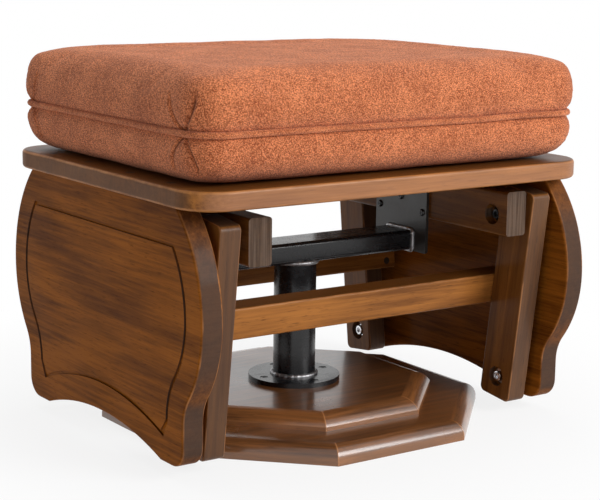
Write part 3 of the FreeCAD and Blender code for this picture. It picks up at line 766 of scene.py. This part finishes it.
def blown_up(item, held, pressure, limit, frames=20):
    """Fills a cover with pressure: cloth steps, each point capped, then the cloth is dropped."""
    scene = bpy.context.scene
    start = points_of(item.data)
    group = item.vertex_groups.new(name="held")
    for i in np.flatnonzero(held > 0.0):
        group.add([int(i)], float(held[i]), "REPLACE")
    modifier = item.modifiers.new("cloth", "CLOTH")
    settings = modifier.settings
    settings.vertex_group_mass = "held"
    settings.use_pressure = True
    settings.uniform_pressure_force = pressure
    settings.effector_weights.gravity = 0.0
    settings.quality = 5
    for kind, stiffness in (("tension", 18.0), ("compression", 12.0), ("shear", 6.0), ("bending", 0.8)):
        setattr(settings, f"{kind}_stiffness", stiffness)
    modifier.collision_settings.use_collision = False
    modifier.collision_settings.use_self_collision = False
    modifier.point_cache.frame_start = 1
    modifier.point_cache.frame_end = frames
    for step in range(1, frames + 1):
        scene.frame_set(step)
    mesh = evaluated_mesh(item)
    move = points_of(mesh) - start
    bpy.data.meshes.remove(mesh)
    item.modifiers.clear()
    item.vertex_groups.clear()
    scene.frame_set(1)
    length = np.linalg.norm(move, axis=1, keepdims=True)
    soft = limit * np.tanh(length / limit) / np.maximum(length, 1e-9)
    set_points(item.data, start + move * soft)


def dart_distance(x, y, rise):
    """Distance to the nearest dart seam and how far along it, from points on the cover."""
    turn = np.arctan2(np.maximum(x, 1e-6), np.maximum(y, 0.0)) - math.radians(45)
    arc = turn * CORNER + np.maximum(-y, 0.0) - np.maximum(-x, 0.0) - DART_START
    share = np.clip(np.abs(rise) / DART_HEIGHT, 0.0, 1.0)
    path = DART_SPREAD * (1 - (1 - share) ** 2)
    slope = 2 * DART_SPREAD / DART_HEIGHT * (1 - share)
    return (np.abs(arc) - path) / np.sqrt(1 + slope**2), np.abs(rise) / DART_HEIGHT


def sew_corners(mesh, welt, depth):
    """Draws the cover in along the darts and lifts the turned-over cloth beside them."""
    points = points_of(mesh)
    x = np.abs(points[:, 0]) - (COVER[1][0] - CORNER)
    y = np.abs(points[:, 1]) - (COVER[1][1] - CORNER)
    rise = points[:, 2] - welt
    off, along = dart_distance(x, y, rise)
    fade = np.clip((1.05 - along) * 6, 0.0, 1.0)
    fade = fade * np.clip((np.hypot(np.maximum(x, 0), np.maximum(y, 0)) - 0.026) * 120, 0.0, 1.0)
    groove = np.exp(-((off / 0.0017) ** 2))
    lip = np.exp(-(((off - 0.0036) / 0.0022) ** 2))
    slack = np.exp(-((off / 0.011) ** 2))
    push = (groove + slack * 0.35 - lip * 0.45) * depth * fade
    set_points(mesh, points - points_of(mesh, "normal") * push[:, None])


def soften(mesh):
    """Slow unevenness of the wadding and the fine unevenness of the loops."""
    points = points_of(mesh)
    push = np.empty(len(points))
    waves = ((13.0, 0.0009), (34.0, 0.000315), (330.0, 0.00035))
    for i, point in enumerate(points):
        push[i] = sum(noise.noise(Vector(point) * often) * depth for often, depth in waves)
    points = points + points_of(mesh, "normal") * push[:, None]
    points[:, 2] = np.maximum(points[:, 2], BOARD[1][2] + 0.0006)
    set_points(mesh, points)


class OTTOMAN_OT_cushion_cover(bpy.types.Operator):
    """Sews the cushion's cover, fills it and gives it its looped fabric"""

    bl_idname = "ottoman.cushion_cover"
    bl_label = "Cushion cover"

    def execute(self, context):
        look = context.scene.ottoman_cushion
        fabric = context.scene.ottoman_fabric
        rings, welt = cushion_start()
        shell = Shell()
        shell.rings(rings)
        finish = shared("looped_fabric", loop_fabric, 1.0, darts=True)
        cover = mesh_piece("cushion_cover_fabric", shell, finish, "seat", "cushion_cover")
        voxel = look.voxel
        with_modifier(cover, "REMESH", mode="VOXEL", voxel_size=voxel)
        with_modifier(cover, "SMOOTH", factor=0.5, iterations=3)
        points = points_of(cover.data)
        at_welt = np.abs(points[:, 2] - welt) < look.voxel * 0.75
        below = points[:, 2] < BOARD[1][2] + 0.0022
        edge = np.minimum(COVER[1][0] - np.abs(points[:, 0]), COVER[1][1] - np.abs(points[:, 1]))
        crown = np.clip((edge - 0.05) / 0.05, 0.0, 1.0) * (points[:, 2] > welt)
        held = np.where(at_welt | below, 1.0, crown * 0.96)
        blown_up(cover, held, look.pressure, look.swell_limit)
        with_modifier(cover, "SMOOTH", factor=0.5, iterations=2)
        mesh = with_modifier(cover, "SUBSURF", levels=1)
        sew_corners(mesh, welt, fabric.seam_depth)
        soften(mesh)
        mesh.polygons.foreach_set("use_smooth", [True] * len(mesh.polygons))
        mesh.materials.clear()
        mesh.materials.append(finish)
        return {"FINISHED"}


class OTTOMAN_OT_cushion_welt(bpy.types.Operator):
    """Lays the covered cord round the cushion's waist"""

    bl_idname = "ottoman.cushion_welt"
    bl_label = "Cushion welt"

    def execute(self, context):
        look = context.scene.ottoman_cushion
        proud = 0.0015 - look.welt_radius
        half_x = (WELT[1][0] - WELT[0][0]) / 2 + proud
        half_y = (WELT[1][1] - WELT[0][1]) / 2 + proud
        height = (WELT[0][2] + WELT[1][2]) / 2
        outline = rounded_outline(half_x, half_y, 0.038, side_steps=(110, 84), corner_steps=20)
        path = []
        for x, y in outline:
            wave = noise.noise(Vector((x, y, 0.3)) * 11.0) * 0.0011
            inward = noise.noise(Vector((x, y, 1.7)) * 9.0) * 0.0006
            scale = 1 - (0.0008 + inward) / math.hypot(x, y)
            path.append(Vector((x * scale, y * scale, height + wave)))
        radius = look.welt_radius

        def radius_at(i, angle):
            point = path[i]
            uneven = noise.noise(Vector((point.x * 60, point.y * 60, angle))) * 0.00035
            loops = noise.noise(Vector((point.x * 340, point.y * 340, angle * 3))) * 0.0003
            return radius + uneven + loops

        shell = Shell()
        shell.rings(tube_along(path, radius_at, count=16), closed=True)
        finish = shared("looped_fabric_welt", loop_fabric, 4.0, loop_scale=0.8)
        mesh_piece("cushion_welt_cord", shell, finish, "seat", "cushion_piping")
        return {"FINISHED"}


class OTTOMAN_OT_cushion_foam(bpy.types.Operator):
    """Cuts the foam block inside the cover"""

    bl_idname = "ottoman.cushion_foam"
    bl_label = "Cushion foam"

    def execute(self, context):
        low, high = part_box("cushion_foam")
        half_x = (high[0] - low[0]) / 2 - 0.001
        half_y = (high[1] - low[1]) / 2 - 0.001
        profile = [
            (0.008, low[2] + 0.001, 0.026),
            (0.002, low[2] + 0.004, 0.032),
            (0.0, low[2] + 0.012, 0.034),
            (0.0, high[2] - 0.016, 0.034),
            (0.004, high[2] - 0.006, 0.031),
            (0.014, high[2] - 0.001, 0.024),
        ]
        shell = Shell()
        shell.rings(inset_rings(half_x, half_y, profile))
        finish = shared("cut_foam", foam)
        block = mesh_piece("cushion_foam_block", shell, finish, "seat", "cushion_foam")
        return {"FINISHED"}


# Wood.


class OTTOMAN_OT_panels_and_board(bpy.types.Operator):
    """Stains and lacquers the side panels and the seat board"""

    bl_idname = "ottoman.panels_and_board"
    bl_label = "Panels and board"

    def execute(self, context):
        look = context.scene.ottoman_wood
        light, dark = tuple(look.panel_light), tuple(look.panel_dark)
        # The panels' front edges get a painted reflection.
        haze = tuple(look.arm_haze)
        for seed, side in enumerate(("left", "right"), start=2):
            options = {"stripes": "Z", "face": "X", "gloss": 0.015, "cut": 0.35, "front": haze}
            finish = wood(f"panel_wood_{side}", "Y", light, dark, seed, **options)
            dress(f"side_panel_{side}", finish)
        light, dark = tuple(look.frame_light), tuple(look.frame_dark)
        # The board's front gets a painted reflection.
        options = {"stripes": "Y", "face": "Z", "cut": 0.2, "front": tuple(look.board_front_reflection)}
        dress("seat_board", wood("board_wood", "X", light, dark, 5.0, **options))
        return {"FINISHED"}


class OTTOMAN_OT_swing_frames(bpy.types.Operator):
    """Stains and lacquers the rails, the swing arms and their stretchers"""

    bl_idname = "ottoman.swing_frames"
    bl_label = "Rails and swing frames"

    def execute(self, context):
        look = context.scene.ottoman_wood
        light, dark = tuple(look.frame_light), tuple(look.frame_dark)
        arm_light = scaled(light, 0.56)
        arm_dark = scaled(dark, 0.6)
        rail_light = scaled(light, 0.5)
        rail_dark = scaled(dark, 0.5)
        lean = math.radians(7)
        seed = 7.0
        for end, sign in (("front", 1), ("rear", -1)):
            for side in ("left", "right"):
                seed += 1.0
                name = f"{end}_{side}_arm"
                # The arms' front faces get a painted reflection.
                options = {"lean": -sign * lean, "face": "X", "front": tuple(look.arm_haze)}
                finish = wood(f"{name}_wood", "Z", arm_light, arm_dark, seed, **options)
                dress(name, finish)
            seed += 1.0
            name = f"{end}_stretcher"
            dress(name, wood(f"{name}_wood", "X", light, dark, seed, -sign * lean, "Y", "Y"))
        for side in ("left", "right"):
            seed += 1.0
            finish = wood(f"rail_wood_{side}", "Y", rail_light, rail_dark, seed, stripes="X", gloss=0.1)
            dress(f"rail_{side}", finish)
        peg = shared("dowel_wood", wood, "Z", colour(214, 180, 130), colour(170, 130, 84), 31.0)
        dress("panel_dowels", peg)
        return {"FINISHED"}


class OTTOMAN_OT_octagon_base(bpy.types.Operator):
    """Stains and lacquers the two octagonal tiers of the base"""

    bl_idname = "ottoman.octagon_base"
    bl_label = "Octagon base"

    def execute(self, context):
        look = context.scene.ottoman_wood
        light, dark = tuple(look.base_light), tuple(look.base_dark)
        lower = octagon_wood("lower_tier_wood", light, dark, 17.0, top_half=206.0, half=224.0)
        upper = octagon_wood("upper_tier_wood", light, dark, 23.0, top_half=143.5, half=166.0)
        dress("base_lower_tier", lower)
        dress("base_upper_tier", upper)
        return {"FINISHED"}


# Steel.


def weld_bead(path, radius, seed, ripple=0.0021):
    """A bead laid in overlapping scales along a closed path."""
    lengths = [0.0]
    for i in range(1, len(path)):
        lengths.append(lengths[-1] + (path[i] - path[i - 1]).length)

    def radius_at(i, angle):
        scale = (lengths[i] / ripple) % 1.0
        ridge = math.sqrt(scale) * 0.22 - 0.1
        lump = noise.noise(path[i] * 190.0 + Vector((seed, seed, seed))) * 0.3
        return radius * (1 + ridge + lump)

    return tube_along(path, radius_at, count=12)


class OTTOMAN_OT_column_tube(bpy.types.Operator):
    """Rolls the column's tube"""

    bl_idname = "ottoman.column_tube"
    bl_label = "Column tube"

    def execute(self, context):
        look = context.scene.ottoman_steel
        low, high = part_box("column")
        outer = (high[0] - low[0]) / 2
        wall = 0.003
        inner = outer - wall
        tube = Shell()
        rings = sleeve_rings(inner / MM, outer / MM, low[2] / MM, high[2] / MM, 0.4, 128)
        tube.rings(rings, closed=True)
        paint = shared("black_paint", painted_steel, tuple(look.paint), 0.26)
        mesh_piece("rolled_column", tube, paint, "base", "column", crisp=True)
        return {"FINISHED"}


class OTTOMAN_OT_weld_beads(bpy.types.Operator):
    """Lays the weld beads at the column and at the ends of the crossbar"""

    bl_idname = "ottoman.weld_beads"
    bl_label = "Weld beads"

    def execute(self, context):
        look = context.scene.ottoman_steel
        radius = look.bead_radius
        metal = shared("weld_metal", bare_metal, tuple(look.weld), 0.34, scale=0.0012, marks=0.6)
        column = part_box("column")
        reach = (column[1][0] - column[0][0]) / 2 + 0.0006
        beads = Shell()
        for height, seed in ((column[0][2] + 0.0008, 1.0), (column[1][2] - 0.0008, 5.0)):
            beads.rings(weld_bead(round_ring(reach, height, 220), radius, seed), closed=True)
        mesh_piece("column_weld_beads", beads, metal, "base", "column_welds")
        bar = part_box("crossbar")
        middle = (bar[0][2] + bar[1][2]) / 2
        half_y = (bar[1][1] - bar[0][1]) / 2 + 0.0004
        half_z = (bar[1][2] - bar[0][2]) / 2 + 0.0004
        beads = Shell()
        for end, seed in ((bar[0][0] + 0.0006, 9.0), (bar[1][0] - 0.0006, 13.0)):
            outline = rounded_outline(half_y, half_z, 0.005, side_steps=(56, 26), corner_steps=6)
            path = [Vector((end, y, middle + z)) for y, z in outline]
            beads.rings(weld_bead(path, radius, seed, 0.0026), closed=True)
        mesh_piece("crossbar_weld_beads", beads, metal, "base", "crossbar_welds")
        return {"FINISHED"}


class OTTOMAN_OT_steel_finishes(bpy.types.Operator):
    """Paints the column, the crossbar and the plates, and finishes the hidden fasteners"""

    bl_idname = "ottoman.steel_finishes"
    bl_label = "Steel finishes"

    def execute(self, context):
        look = context.scene.ottoman_steel
        paint = shared("black_paint", painted_steel, tuple(look.paint), 0.26)
        satin = shared("satin_plate", painted_steel, tuple(look.plate), 0.4, orange_peel=0.2)
        zinc = shared("zinc_plate", bare_metal, colour(196, 196, 200), 0.36)
        bush = shared("bearing_nylon", nylon)
        browned = shared("browned_screw", painted_steel, colour(40, 28, 20), 0.45)
        dress("column_flange crossbar", paint)
        dress("end_plate_left end_plate_right", satin)
        dress("tier_screws top_lock_nuts panel_inserts", zinc)
        dress("front_stretcher_screws rear_stretcher_screws panel_screws", browned)
        dress("top_spacers bottom_spacers front_arm_bushes rear_arm_bushes", bush)
        return {"FINISHED"}


def socket_bolt_rings(shank_length):
    """A bolt along +Z: the head below z = 0 with a rounded rim and a hexagon socket."""
    head = 6.6
    depth = 6.3
    profile = [
        (0.6, -depth + 3.9),
        (hexagon(3.0), -depth + 3.6),
        (hexagon(3.1), -depth + 0.5),
        (hexagon(3.4), -depth),
        (head - 1.6, -depth),
        (head - 0.6, -depth + 0.35),
        (head - 0.1, -depth + 1.2),
        (head, -depth + 2.2),
        (head, -1.2),
        (head - 0.2, -0.9),
        (4.0, -0.9),
        (4.0, shank_length),
    ]
    return turned_rings(profile, 48)


class OTTOMAN_OT_pivot_bolts(bpy.types.Operator):
    """Turns the eight pivot bolts with their washers"""

    bl_idname = "ottoman.pivot_bolts"
    bl_label = "Pivot bolts"

    def execute(self, context):
        look = context.scene.ottoman_steel
        bright = shared("bright_bolt", bare_metal, tuple(look.bolt), 0.18, scale=0.0006, marks=0.25)
        black = shared("black_bolt", painted_steel, tuple(look.paint), 0.3)
        # Each row ends with the seat of the head, the shank, the pivot's y and z, and the washer's radius.
        rows = [
            ("top_pivot_bolts", "base", black, 0.182, 55.4, 0.172, 0.259, 9.8),
            ("bottom_pivot_bolts", "seat", bright, 0.2176, 44.4, 0.145603, 0.0440145, 9.4),
        ]
        for name, body, metal, seat, shank, depth, height, washer in rows:
            shell = Shell()
            for side in (-1, 1):
                for end in (-1, 1):
                    base = (side * seat, end * depth, height)
                    aim = (side, 0, 0)
                    shell.rings(placed(socket_bolt_rings(shank), base, aim))
                    ring = sleeve_rings(4.05, washer, -0.85, -0.05, 0.2, 48)
                    shell.rings(placed(ring, base, aim), closed=True)
            mesh_piece(f"turned_{name}", shell, metal, body, name, crisp=True)
        return {"FINISHED"}


class OTTOMAN_OT_black_screws(bpy.types.Operator):
    """Turns the domed screws of the end plates and the countersunk screws of the flange"""

    bl_idname = "ottoman.black_screws"
    bl_label = "Black screws"

    def execute(self, context):
        look = context.scene.ottoman_steel
        black = shared("black_screw", painted_steel, tuple(look.paint), 0.34)
        profile = [
            (0.3, -0.5),
            (cross(0.35, 1.2), -0.7),
            (cross(0.55, 2.4), -2.25),
            (3.0, -2.35),
            (4.1, -1.7),
            (4.7, -0.8),
            (4.75, -0.05),
            (2.0, -0.02),
            (1.95, 20.0),
            (0.4, 21.8),
        ]
        screw = Shell()
        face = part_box("end_plate_right")[0][0]
        spots = [(-43.5, 243), (43.5, 243), (-43.5, 279), (43.5, 279), (0, 259)]
        for side in (-1, 1):
            for y, z in spots:
                rings = turned_rings(profile, 40)
                screw.rings(placed(rings, (side * face, y * MM, z * MM), (side, 0, 0)))
        mesh_piece("domed_plate_screws", screw, black, "base", "plate_screws", crisp=True)
        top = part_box("column_flange")[1][2]
        profile = [
            (0.3, 2.4),
            (cross(0.35, 1.4), 2.2),
            (cross(0.6, 2.6), 0.55),
            (4.4, 0.45),
            (4.9, 0.6),
            (2.5, 3.0),
            (2.5, 28.6),
            (0.5, 29.8),
        ]
        screw = Shell()
        circle = 0.045
        for spot in round_ring(circle, top, 4):
            screw.rings(placed(turned_rings(profile, 40), spot, (0, 0, -1)))
        mesh_piece("sunk_flange_screws", screw, black, "base", "flange_screws", crisp=True)
        return {"FINISHED"}


# Stage.


def seen_rays(tree):
    """1 for rays that the camera sees straight, in a reflection or through glass."""
    path = tree.nodes.new("ShaderNodeLightPath")
    straight, mirrored, through = (
        Value(tree, path.outputs[f"Is {kind} Ray"]) for kind in ("Camera", "Glossy", "Transmission")
    )
    return straight + mirrored + through


class OTTOMAN_OT_stage(bpy.types.Operator):
    """Sets the floor, the soft boxes, the surroundings and the camera"""

    bl_idname = "ottoman.stage"
    bl_label = "Stage"

    def execute(self, context):
        look = context.scene.ottoman_stage
        self.make_floor(look)
        self.make_world(context, look)
        self.soft_box("key", (1.35, -2.5, 1.7), (1.5, 1.3), look.key_power)
        self.soft_box("fill", (-2.6, -0.9, 1.1), (1.4, 1.4), look.fill_power)
        self.soft_box("overhead", (0.2, 0.5, 2.5), (2.0, 2.0), look.top_power)
        self.make_camera(context)
        context.scene.view_settings.view_transform = "Standard"
        return {"FINISHED"}

    def make_floor(self, look):
        half = 6.0
        mesh = bpy.data.meshes.new("floor")
        corners = [(-half, -half, 0), (half, -half, 0), (half, half, 0), (-half, half, 0)]
        mesh.from_pydata(corners, [], [(0, 1, 2, 3)])
        floor = bpy.data.objects.new("floor", mesh)
        bpy.context.scene.collection.objects.link(floor)
        floor.location.z = -0.0004
        made, place = new_material("pale_floor")
        lit = place.node("ShaderNodeBsdfDiffuse", None, {"Color": rgba(look.floor)})
        bright = place.node("ShaderNodeEmission", None, {"Color": (1, 1, 1, 1), "Strength": 1.0})
        reach = place.node("ShaderNodeVectorMath", {"operation": "LENGTH"}, {0: place}, 1)
        share = seen_rays(made.node_tree) * (reach.step(0.25, 0.7) * 0.16 + 0.84)
        end_in(made.node_tree, place.node("ShaderNodeMixShader", None, {0: share, 1: lit, 2: bright}))
        mesh.materials.append(made)

    def make_world(self, context, look):
        world = bpy.data.worlds.new("studio")
        world.use_nodes = True
        tree = world.node_tree
        tree.nodes.clear()
        tree.nodes.new("ShaderNodeOutputWorld")
        seen = seen_rays(tree)
        white = seen.node("ShaderNodeBackground", None, {"Color": (1, 1, 1, 1), "Strength": 1.0})
        pale = {"Color": (0.96, 0.98, 1.0, 1.0), "Strength": look.ambient}
        soft = seen.node("ShaderNodeBackground", None, pale)
        end_in(tree, seen.node("ShaderNodeMixShader", None, {0: seen, 1: soft, 2: white}))
        context.scene.world = world

    def soft_box(self, name, place, size, power):
        light = bpy.data.lights.new(f"{name}_light", "AREA")
        light.shape = "RECTANGLE"
        light.size, light.size_y = size
        light.energy = power
        lamp = bpy.data.objects.new(f"{name}_light", light)
        lamp.location = place
        aim = Vector((0.0, 0.0, 0.22)) - Vector(place)
        lamp.rotation_euler = aim.to_track_quat("-Z", "Y").to_euler()
        bpy.context.scene.collection.objects.link(lamp)

    def make_camera(self, context):
        data = bpy.data.cameras.new("studio_camera")
        data.sensor_width = 36.0
        data.lens = 97.95
        data.clip_end = 50.0
        camera = bpy.data.objects.new("studio_camera", data)
        eye = Vector((-1.1436, -1.6403, 0.5824))
        target = Vector((0.00637, -0.0007, 0.20257))
        roll = math.radians(0.81)
        forward = (target - eye).normalized()
        right = forward.cross(Vector((0, 0, 1))).normalized()
        up = right.cross(forward)
        across = right * math.cos(roll) + up * math.sin(roll)
        upward = up * math.cos(roll) - right * math.sin(roll)
        turn = Matrix((across, upward, -forward)).transposed()
        camera.matrix_world = Matrix.Translation(eye) @ turn.to_4x4()
        context.scene.collection.objects.link(camera)
        context.scene.camera = camera


class OTTOMAN_PT_pieces(bpy.types.Panel):
    """Lists the ottoman's pieces and their settings"""

    bl_idname = "OTTOMAN_PT_pieces"
    bl_label = "Glider ottoman"
    bl_space_type = "VIEW_3D"
    bl_region_type = "UI"
    bl_category = "Ottoman"

    def draw(self, context):
        for operator in OPERATORS:
            self.layout.operator(operator.bl_idname)
        for name in SETTINGS:
            group = getattr(context.scene, name)
            box = self.layout.box()
            for setting in group.__annotations__:
                box.prop(group, setting)


SETTINGS = {
    "ottoman_wood": WoodSettings,
    "ottoman_fabric": FabricSettings,
    "ottoman_cushion": CushionSettings,
    "ottoman_steel": SteelSettings,
    "ottoman_stage": StageSettings,
}

OPERATORS = [
    OTTOMAN_OT_stage,
    OTTOMAN_OT_panels_and_board,
    OTTOMAN_OT_swing_frames,
    OTTOMAN_OT_octagon_base,
    OTTOMAN_OT_steel_finishes,
    OTTOMAN_OT_column_tube,
    OTTOMAN_OT_weld_beads,
    OTTOMAN_OT_pivot_bolts,
    OTTOMAN_OT_black_screws,
    OTTOMAN_OT_cushion_foam,
    OTTOMAN_OT_cushion_welt,
    OTTOMAN_OT_cushion_cover,
]


def register():
    for group in SETTINGS.values():
        bpy.utils.register_class(group)
    for operator in OPERATORS:
        bpy.utils.register_class(operator)
    bpy.utils.register_class(OTTOMAN_PT_pieces)
    for name, group in SETTINGS.items():
        setattr(bpy.types.Scene, name, bpy.props.PointerProperty(type=group))


def unregister():
    for name in SETTINGS:
        delattr(bpy.types.Scene, name)
    bpy.utils.unregister_class(OTTOMAN_PT_pieces)
    for operator in reversed(OPERATORS):
        bpy.utils.unregister_class(operator)
    for group in reversed(list(SETTINGS.values())):
        bpy.utils.unregister_class(group)


def main():
    register()
    for operator in OPERATORS:
        group, action = operator.bl_idname.split(".")
        getattr(getattr(bpy.ops, group), action)()


if __name__ == "__main__":
    main()
